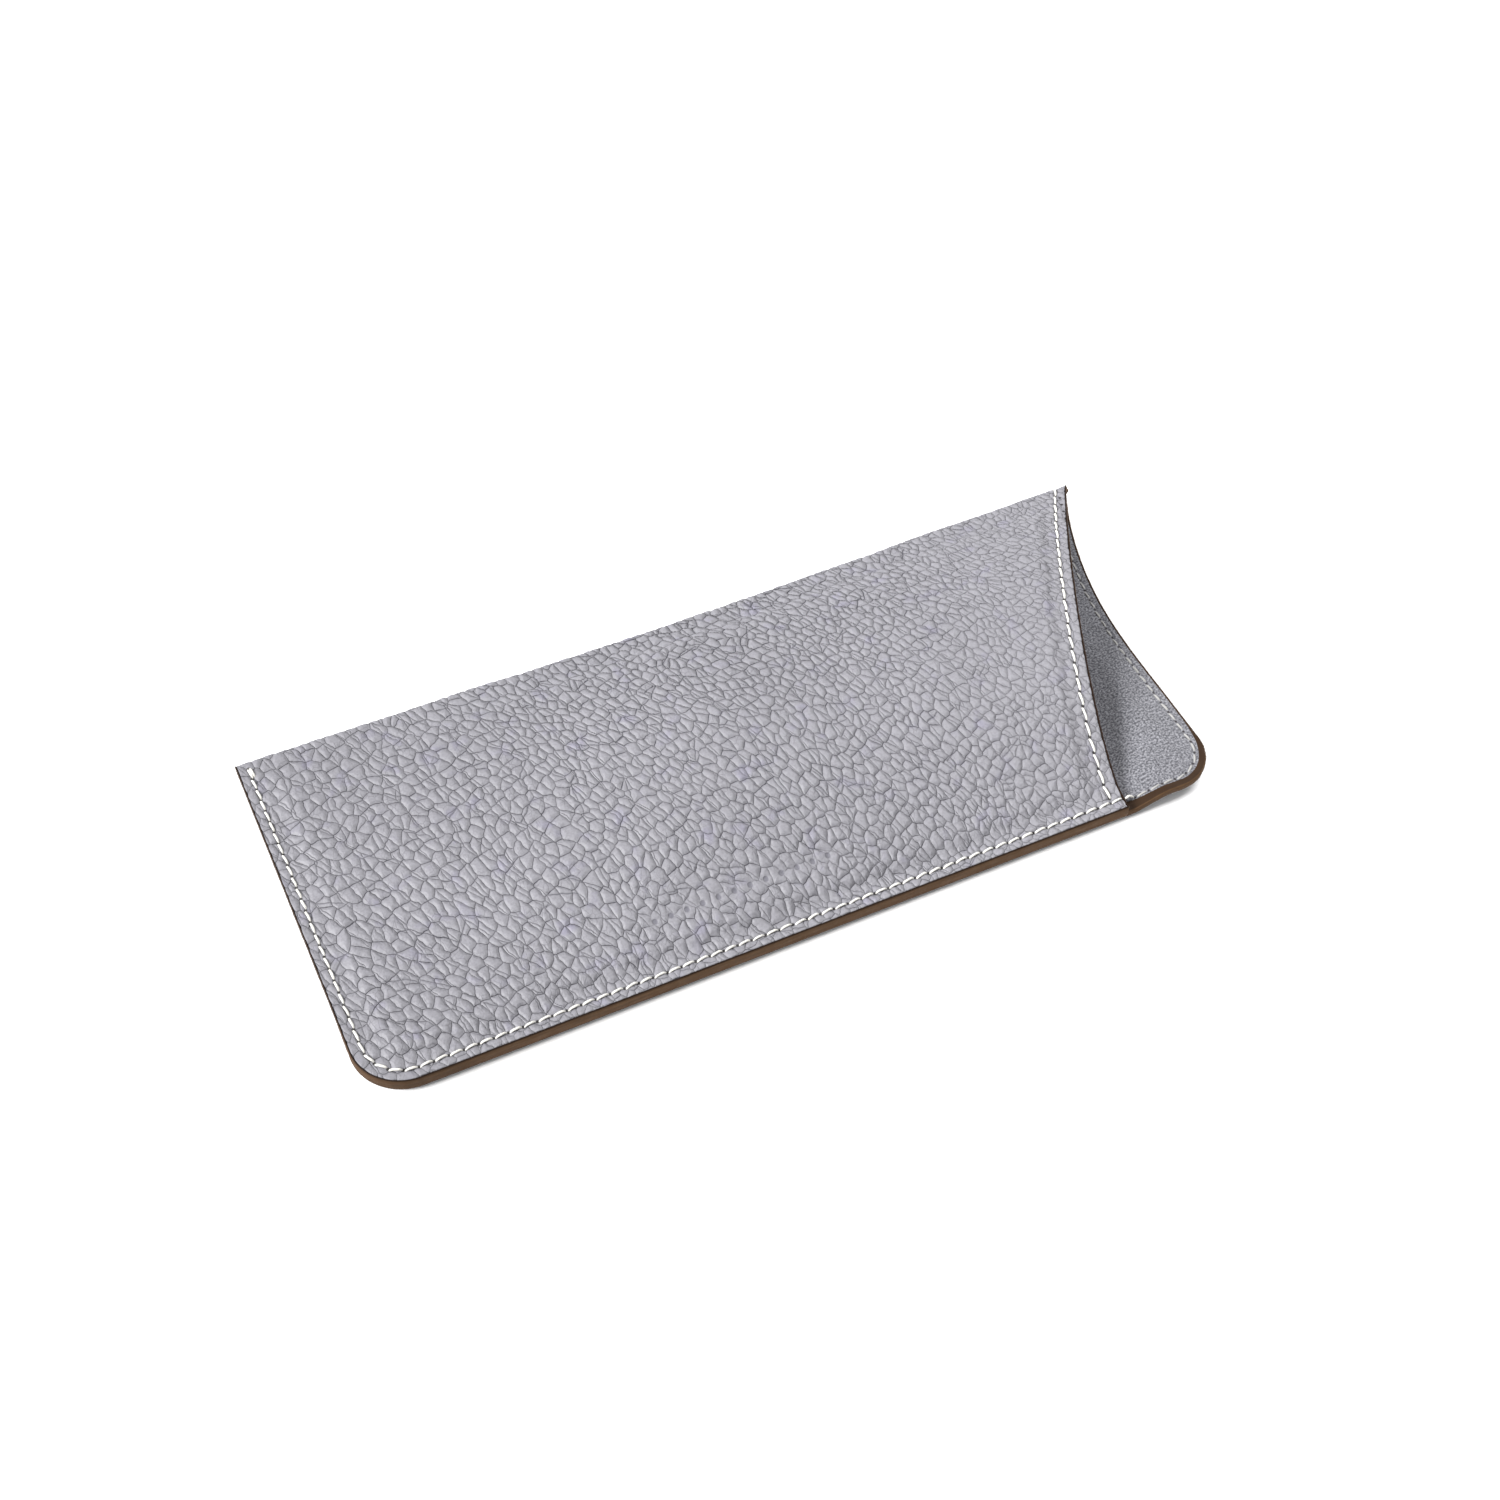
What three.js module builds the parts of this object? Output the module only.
// Slip-in leather eyeglasses sleeve, open at one short end, in millimetres.
//
// One piece of leather and one piece of lining are folded together along a long edge (+Y). The closed
// end (-X) and the other long edge (-Y) are sewn through both panels. The back panel lies on the table
// and reaches past the front panel at the mouth (+X). Z is up from the table.
import * as THREE from "three";

// ---- Outline, measured from the closed end and from the sewn long edge ----
const LENGTH = 175; // closed end to the tip of the fold at the mouth
const WIDTH = 76.8; // sewn long edge to the fold
const CLOSED_CORNER = 9.5; // corner radius between the closed end and the sewn edge
const FLAP_CORNER = 8.5; // corner radius of the back panel's free corner
const FRONT_REACH = 145.1; // length of the front panel at the sewn edge
const FRONT_BEND = 1.52; // power that bends the front mouth edge inwards
const FLAP_REACH = 164.5; // shortest length of the back panel
const FLAP_WAIST = 20; // distance of that shortest place from the sewn edge
const FLAP_BEND = 2.8; // power that bends the back mouth edge outwards on both sides of the waist
const FOLD_PULL = 1.1; // how far the filled pocket pulls the fold inwards at mid length

// ---- Layers ----
const LEATHER = 0.9;
const LINING = 0.45;
const BOARD = 0.3; // stiffening board, between leather and lining
const GLUE = 0.02; // gap between two layers
const HALF_GAP = 0.04; // half the gap between the two linings where they are sewn together
const HALF_STACK = HALF_GAP + LINING + GLUE + LEATHER;
const FOLD_START = WIDTH - HALF_STACK; // where a panel turns into the round fold

// ---- Shape of the pocket ----
const RIM_LIFT = 0.62; // the sewn rim stands this far above the flat belly of the back panel
const RIM_FLAT = 4; // width of the flat sewn rim
const BELLY_INSET = 14; // the belly is flat this far from every edge
const BOARD_INSET = 7; // the boards stay this far from every edge
const SWELL = 7; // height that the front panel swells to
const SWELL_RAMP = 85; // distance from the closed end where it is fully swollen
const SWELL_POWER = 1.25; // roundness of the swelling across the width
const FLAP_LIFT = 1.9; // the free corner of the back panel curls up this far
const FLAP_LIFT_FROM = 0.6; // the curl starts this far past the front panel's mouth edge
const FLAP_LIFT_TO = 9; // and is complete this far past it
const FLAP_LIFT_LOW = 10; // it fades between these two distances from the sewn edge
const FLAP_LIFT_HIGH = 50;

// ---- Edge paint and thread ----
const PAINT = 0.35; // how far the painted bead stands out of a cut edge
const PAINT_CROWN = 0.85; // 1 makes the bead a full half round
const PAINT_GAP = 0.05; // between the bead and the cut edge
const THREAD_RADIUS = 0.27;
const THREAD_CLEARANCE = 0.07;
const SEAM_INSET = 2; // thread to cut edge, on the sewn rim
const FLAP_SEAM_INSET = 1.6; // thread to cut edge, on the back panel's mouth
const MOUTH_SEAM_INSET = 2.4; // thread to cut edge, on the front panel's mouth
const SEAM_START = 2.1; // first stitch to the fold
const MOUTH_SEAM_POINTS = 36;
const OUTER_SEAM_LOW = 3; // the outer thread runs from here to the fold
const INNER_SEAM_LOW = 8; // the inner thread runs only where the pocket has room for it
const INNER_SEAM_HIGH = 70;

const { smoothstep, lerp } = THREE.MathUtils;
const vec = (x, y, z) => new THREE.Vector3(x, y, z);

// ---- Outline curves: x of each end at a distance y from the sewn edge ----
const cornerInset = (y, radius) =>
  y < radius ? radius - Math.sqrt(radius ** 2 - (radius - y) ** 2) : 0;
const closedEnd = (y) => cornerInset(y, CLOSED_CORNER);
const frontMouth = (y) => lerp(FRONT_REACH, LENGTH, (y / WIDTH) ** FRONT_BEND);
const backMouth = (y) => {
  const fromWaist = Math.abs(y - FLAP_WAIST) / (WIDTH - FLAP_WAIST);
  return lerp(FLAP_REACH, LENGTH, fromWaist ** FLAP_BEND) - cornerInset(y, FLAP_CORNER);
};
const mouth = (front, y) => (front ? frontMouth(y) : backMouth(y));

// ---- Surfaces: each face of each layer, by its depth from the pocket ----
// front and back say how many board thicknesses raise the face where the boards lie. The back panel
// thickens upwards, so that its underside stays flat.
const surfaces = {
  liningInner: { depth: 0, front: 1, back: 1 },
  liningOuter: { depth: LINING, front: 1, back: 1 },
  boardInner: { depth: LINING + GLUE, front: 1, back: 1 },
  boardOuter: { depth: LINING + GLUE + BOARD, front: 1, back: 1 },
  leatherInner: { depth: LINING + GLUE, front: 2, back: 0 },
  leatherOuter: { depth: LINING + GLUE + LEATHER, front: 2, back: 0 },
};

const edgeDistance = (front, x, y) =>
  Math.min(x - closedEnd(y), mouth(front, y) - x, y, FOLD_START - y);

function swelling(x, y) {
  const across = (y - RIM_FLAT) / (FOLD_START - RIM_FLAT);
  const arch = Math.max(0, 1 - (2 * across - 1) ** 2) ** SWELL_POWER;
  return SWELL * arch * smoothstep(x, RIM_FLAT, SWELL_RAMP);
}

const flapCurl = (x, y) =>
  FLAP_LIFT *
  smoothstep(x - frontMouth(y), FLAP_LIFT_FROM, FLAP_LIFT_TO) *
  (1 - smoothstep(y, FLAP_LIFT_LOW, FLAP_LIFT_HIGH));

// Height of a face of the front or back panel over the table.
function panelHeight(surface, front, x, y) {
  const inside = edgeDistance(front, x, y);
  const boardStep = (BOARD + GLUE) * smoothstep(inside, RIM_FLAT, BOARD_INSET);
  const middle = RIM_LIFT + HALF_STACK;
  if (front) {
    return middle + HALF_GAP + surface.depth + surface.front * boardStep + swelling(x, y);
  }
  const belly = RIM_LIFT * smoothstep(inside, RIM_FLAT, BELLY_INSET);
  return middle - HALF_GAP - surface.depth + surface.back * boardStep - belly + flapCurl(x, y);
}

const pulledIn = (x, y) =>
  y * (1 - (FOLD_PULL / WIDTH) * Math.sin((Math.PI * x) / LENGTH) ** 2);

// ---- Stations round the girth: the front panel, the fold, the back panel ----
const PANEL_ROWS = [0, 0.3, 1.2, 3, 5, 7.2, 16, 26, 38, 50, 60, 67, 71, FOLD_START];
const FOLD_STEPS = 5;
const girth = [
  ...PANEL_ROWS.map((y) => ({ front: true, y })),
  ...Array.from({ length: FOLD_STEPS - 1 }, (_, i) => {
    const angle = Math.PI * (0.5 - (i + 1) / FOLD_STEPS);
    return { front: angle > 0, y: FOLD_START + HALF_STACK * Math.cos(angle), angle };
  }),
  ...PANEL_ROWS.map((y) => ({ front: false, y })).reverse(),
];

// A point of a face, at a girth station and at a distance x from the closed end.
function pointAt(surface, station, x) {
  if (station.angle === undefined) {
    const z = panelHeight(surface, station.front, x, station.y);
    return vec(x, pulledIn(x, station.y), z);
  }
  const radius = HALF_GAP + surface.depth;
  const centre = pulledIn(x, FOLD_START);
  return vec(
    x,
    centre + radius * Math.cos(station.angle),
    RIM_LIFT + HALF_STACK + radius * Math.sin(station.angle),
  );
}

// ---- Columns along the length: a few at insets from each end, the rest evenly between ----
const END_INSETS = [0, 2, 4.5, 7.2, 12];
const MIDDLE_COLUMNS = 7;
const columnCount = 2 * END_INSETS.length + MIDDLE_COLUMNS;

// At the back panel's mouth the innermost of these columns lies where the flap starts to curl.
function mouthInset(station, k) {
  if (station.front || k < END_INSETS.length - 1) return END_INSETS[k];
  const flap = backMouth(station.y) - frontMouth(station.y) - FLAP_LIFT_FROM;
  return Math.max(END_INSETS[k], flap);
}

function columnX(station, column) {
  const start = closedEnd(station.y);
  const end = mouth(station.front, station.y);
  const last = END_INSETS.length - 1;
  const fromEnd = columnCount - 1 - column;
  if (column <= last) return start + END_INSETS[column];
  if (fromEnd <= last) return end - mouthInset(station, fromEnd);
  const share = (column - last) / (MIDDLE_COLUMNS + 1);
  return lerp(start + END_INSETS[last], end - mouthInset(station, last), share);
}

// Height of a modelled face between its rows and columns.
function faceHeight(surface, front, x, y) {
  const upper = Math.max(1, PANEL_ROWS.findIndex((row) => row >= y));
  const [low, high] = [PANEL_ROWS[upper - 1], PANEL_ROWS[upper]];
  const share = (y - low) / (high - low);
  const columns = Array.from({ length: columnCount }, (_, column) => {
    const [below, above] = [low, high].map((rowY) => {
      const station = { front, y: rowY };
      return pointAt(surface, station, columnX(station, column));
    });
    return below.lerp(above, share);
  });
  const right = Math.max(1, columns.findIndex((point) => point.x >= x));
  const [before, after] = [columns[right - 1], columns[right]];
  return lerp(before.z, after.z, (x - before.x) / (after.x - before.x));
}

// A closed solid between two facing grids of points. Its outer grid lies on the side that the cross
// product of the two grid directions points to.
function slabGeometry(inner, outer) {
  const rows = inner.length;
  const columns = inner[0].length;
  const points = [...inner.flat(), ...outer.flat()];
  const innerAt = (i, j) => i * columns + j;
  const outerAt = (i, j) => rows * columns + i * columns + j;
  const triangles = [];
  const quad = (a, b, c, d) => triangles.push(a, b, c, a, c, d);
  for (let i = 0; i < rows - 1; i++) {
    for (let j = 0; j < columns - 1; j++) {
      quad(outerAt(i, j), outerAt(i + 1, j), outerAt(i + 1, j + 1), outerAt(i, j + 1));
      triangles.push(innerAt(i, j), innerAt(i + 1, j + 1), innerAt(i + 1, j));
      triangles.push(innerAt(i, j), innerAt(i, j + 1), innerAt(i + 1, j + 1));
    }
  }
  const rim = [
    ...Array.from({ length: rows - 1 }, (_, i) => [i, 0]),
    ...Array.from({ length: columns - 1 }, (_, j) => [rows - 1, j]),
    ...Array.from({ length: rows - 1 }, (_, i) => [rows - 1 - i, columns - 1]),
    ...Array.from({ length: columns - 1 }, (_, j) => [0, columns - 1 - j]),
  ];
  rim.forEach(([i, j], k) => {
    const [nextI, nextJ] = rim[(k + 1) % rim.length];
    quad(innerAt(i, j), innerAt(nextI, nextJ), outerAt(nextI, nextJ), outerAt(i, j));
  });
  const geometry = new THREE.BufferGeometry().setFromPoints(points);
  geometry.setIndex(triangles);
  geometry.computeVertexNormals();
  return geometry;
}

// A layer over some stations of the girth and some columns of the length.
function layerGeometry(innerSurface, outerSurface, stations, firstColumn, lastColumn) {
  const grid = (surface) =>
    Array.from({ length: lastColumn - firstColumn + 1 }, (_, i) =>
      stations.map((station) => pointAt(surface, station, columnX(station, firstColumn + i))),
    );
  return slabGeometry(grid(innerSurface), grid(outerSurface));
}

// ---- Edge paint: a domed bead along a cut edge, given as pairs of points across the edge ----
const BEAD_STEPS = 4;

function beadGeometry(edge) {
  const direction = (k) => {
    const middle = ([a, b]) => vec().addVectors(a, b).multiplyScalar(0.5);
    const before = middle(edge[Math.max(k - 1, 0)]);
    const after = middle(edge[Math.min(k + 1, edge.length - 1)]);
    return after.sub(before);
  };
  const section = (outward) =>
    edge.map(([a, b], k) => {
      const normal = direction(k).cross(vec().subVectors(b, a)).normalize();
      return Array.from({ length: BEAD_STEPS + 1 }, (_, j) => {
        const across = j / BEAD_STEPS;
        const dome = Math.sqrt(1 - (PAINT_CROWN * (2 * across - 1)) ** 2);
        return vec().lerpVectors(a, b, across).addScaledVector(normal, PAINT_GAP + outward * dome);
      });
    });
  return slabGeometry(section(0), section(PAINT));
}

const CORNER_STEPS = 6;
const EDGE_STEPS = 8;
const PAINT_JOINT = 0.25; // half the gap between the two beads at the end of the sewn edge
const FOLD_END_ANGLES = [0.35, 0.8]; // the bead thins out round the fold at these angles

// Cut edge of the whole stack: down the closed end, round the corner and along the sewn edge.
function sewnEdge() {
  const acrossStack = (x, y, halfHeight) =>
    [-halfHeight, halfHeight].map((z) => vec(x, pulledIn(x, y), RIM_LIFT + HALF_STACK + z));
  const foldEnd = FOLD_END_ANGLES.map((angle) =>
    acrossStack(0, FOLD_START + HALF_STACK * Math.cos(angle), HALF_STACK * Math.sin(angle)),
  );
  const closed = PANEL_ROWS.toReversed().map((y) => acrossStack(closedEnd(y), y, HALF_STACK));
  const end = FRONT_REACH - PAINT_JOINT;
  const long = Array.from({ length: EDGE_STEPS }, (_, i) =>
    acrossStack(lerp(CLOSED_CORNER, end, (i + 1) / EDGE_STEPS), 0, HALF_STACK),
  );
  return [...foldEnd, ...closed, ...long];
}

// Cut edge of the single panels at the mouth: up the front panel, round the fold, down the back panel,
// round its free corner and back along the flap to the end of the sewn edge.
function mouthEdge() {
  const acrossPanel = (station, x) => [
    pointAt(surfaces.liningInner, station, x),
    pointAt(surfaces.leatherOuter, station, x),
  ];
  const ends = girth.map((station) => acrossPanel(station, mouth(station.front, station.y)));
  const corner = backMouth(0);
  const flapStation = { front: false, y: 0 };
  const flap = Array.from({ length: EDGE_STEPS }, (_, i) =>
    acrossPanel(flapStation, lerp(corner, FRONT_REACH + PAINT_JOINT, (i + 1) / EDGE_STEPS)),
  );
  return [...ends, ...flap];
}

// ---- Threads: a strand of six sides along a smooth curve through the given points ----
const THREAD_SIDES = 6;
const RIM_STRAND_STEPS = 130;
const UNDER_STRAND_STEPS = 90;
const MOUTH_STRAND_STEPS = 40;
const threadSection = new THREE.Shape(
  Array.from({ length: THREAD_SIDES }, (_, i) => {
    const angle = (2 * Math.PI * i) / THREAD_SIDES;
    return new THREE.Vector2(Math.cos(angle), Math.sin(angle)).multiplyScalar(THREAD_RADIUS);
  }),
);

function threadGeometry(points, steps) {
  const extrudePath = new THREE.CatmullRomCurve3(points, false, "centripetal");
  return new THREE.ExtrudeGeometry(threadSection, { steps, extrudePath, bevelEnabled: false });
}

const strandOffset = THREAD_RADIUS + THREAD_CLEARANCE;
const quarterTurn = Array.from({ length: CORNER_STEPS + 1 }, (_, i) => (Math.PI / 2) * (i / CORNER_STEPS));
const between = (from, to, steps) =>
  Array.from({ length: steps }, (_, i) => lerp(from, to, i / steps));

// Plan of the seam round the sleeve: closed end, corner and sewn edge, then flap, free corner and
// back mouth.
const closedRadius = CLOSED_CORNER - SEAM_INSET;
const SEAM_LEVEL_END = FRONT_REACH - 3; // the threads run level up to here
const sewnSeam = [
  ...between(WIDTH - SEAM_START, CLOSED_CORNER, EDGE_STEPS / 2).map((y) => [SEAM_INSET, y]),
  ...quarterTurn.map((angle) => [
    CLOSED_CORNER - closedRadius * Math.cos(angle),
    CLOSED_CORNER - closedRadius * Math.sin(angle),
  ]),
  ...between(SEAM_LEVEL_END, CLOSED_CORNER, EDGE_STEPS / 2)
    .reverse()
    .map((x) => [x, SEAM_INSET]),
  [FRONT_REACH, SEAM_INSET],
];
const flapRadius = FLAP_CORNER - FLAP_SEAM_INSET;
const flapCorner = backMouth(FLAP_CORNER) - FLAP_CORNER;
const DROP_START = FRONT_REACH + 0.9; // the top thread leaves the front panel here
const DROP_END = FRONT_REACH + 3.2; // and lies on the flap from here
const flapSeam = [
  ...between(DROP_END, flapCorner, EDGE_STEPS / 2).map((x) => [x, SEAM_INSET]),
  ...quarterTurn.map((angle) => [
    flapCorner + flapRadius * Math.sin(angle),
    FLAP_CORNER - flapRadius * Math.cos(angle),
  ]),
  ...between(FOLD_START - SEAM_START, FLAP_CORNER, EDGE_STEPS)
    .reverse()
    .map((y) => [backMouth(y) - FLAP_SEAM_INSET, y]),
];

// Points of a seam's plan laid on a face, on the side that a positive or negative side says.
const laidOn = (plan, surface, front, side) =>
  plan.map(([x, y]) =>
    vec(x, pulledIn(x, y), faceHeight(surface, front, x, y) + side * strandOffset),
  );

function topSeam() {
  const onFront = laidOn(sewnSeam, surfaces.leatherOuter, true, 1);
  const leaving = onFront.at(-1).clone().setX(DROP_START);
  return [...onFront, leaving, ...laidOn(flapSeam, surfaces.liningInner, false, 1)];
}

const underSeam = () => laidOn([...sewnSeam, ...flapSeam], surfaces.leatherOuter, false, -1);

// The front mouth seam, between two distances from the sewn edge.
function mouthSeam(surface, side, low, high) {
  const plan = between(high, low, MOUTH_SEAM_POINTS)
    .reverse()
    .map((y) => [frontMouth(y) - MOUTH_SEAM_INSET, y]);
  return laidOn(plan, surface, true, side);
}

// ---- Materials ----
const material = (color, roughness) =>
  new THREE.MeshStandardMaterial({ color, roughness, metalness: 0 });
const leatherMaterial = material(0xa4a3a9, 0.55);
const liningMaterial = material(0x9a9ba2, 0.95);
const boardMaterial = material(0xb09a78, 0.9);
const paintMaterial = material(0x5e4c3e, 0.4);
const threadMaterial = material(0xf2f1ec, 0.6);

// ---- Assembly, with the origin under the middle of the sleeve, on the table ----
const sleeve = new THREE.Group();
sleeve.position.set(-LENGTH / 2, (PAINT + PAINT_GAP - WIDTH) / 2, 0);

function add(name, geometry, meshMaterial) {
  const mesh = new THREE.Mesh(geometry, meshMaterial);
  mesh.name = name;
  sleeve.add(mesh);
}

const lastColumn = columnCount - 1;
const boardColumn = END_INSETS.findIndex((inset) => inset >= BOARD_INSET);
const boardColumns = [boardColumn, lastColumn - boardColumn];
const underBoard = ({ y }) => y >= BOARD_INSET && y <= FOLD_START - BOARD_INSET;
const boardStations = (front) =>
  girth.filter((station) => station.front === front && underBoard(station));

function addLayer(name, inner, outer, stations, columns, meshMaterial) {
  const geometry = layerGeometry(surfaces[inner], surfaces[outer], stations, ...columns);
  add(name, geometry, meshMaterial);
}

addLayer("outer_leather", "leatherInner", "leatherOuter", girth, [0, lastColumn], leatherMaterial);
addLayer("suede_lining", "liningInner", "liningOuter", girth, [0, lastColumn], liningMaterial);
for (const [name, front] of [["front_board", true], ["back_board", false]]) {
  addLayer(name, "boardInner", "boardOuter", boardStations(front), boardColumns, boardMaterial);
}

add("sewn_edge_paint", beadGeometry(sewnEdge()), paintMaterial);
add("mouth_edge_paint", beadGeometry(mouthEdge()), paintMaterial);

const outerSeam = mouthSeam(surfaces.leatherOuter, 1, OUTER_SEAM_LOW, FOLD_START);
const innerSeam = mouthSeam(surfaces.liningInner, -1, INNER_SEAM_LOW, INNER_SEAM_HIGH);
add("rim_seam_top_thread", threadGeometry(topSeam(), RIM_STRAND_STEPS), threadMaterial);
add("rim_seam_under_thread", threadGeometry(underSeam(), UNDER_STRAND_STEPS), threadMaterial);
add("mouth_seam_outer_thread", threadGeometry(outerSeam, MOUTH_STRAND_STEPS), threadMaterial);
add("mouth_seam_inner_thread", threadGeometry(innerSeam, MOUTH_STRAND_STEPS), threadMaterial);

const part = new THREE.Group();
part.add(sleeve);
export default part;
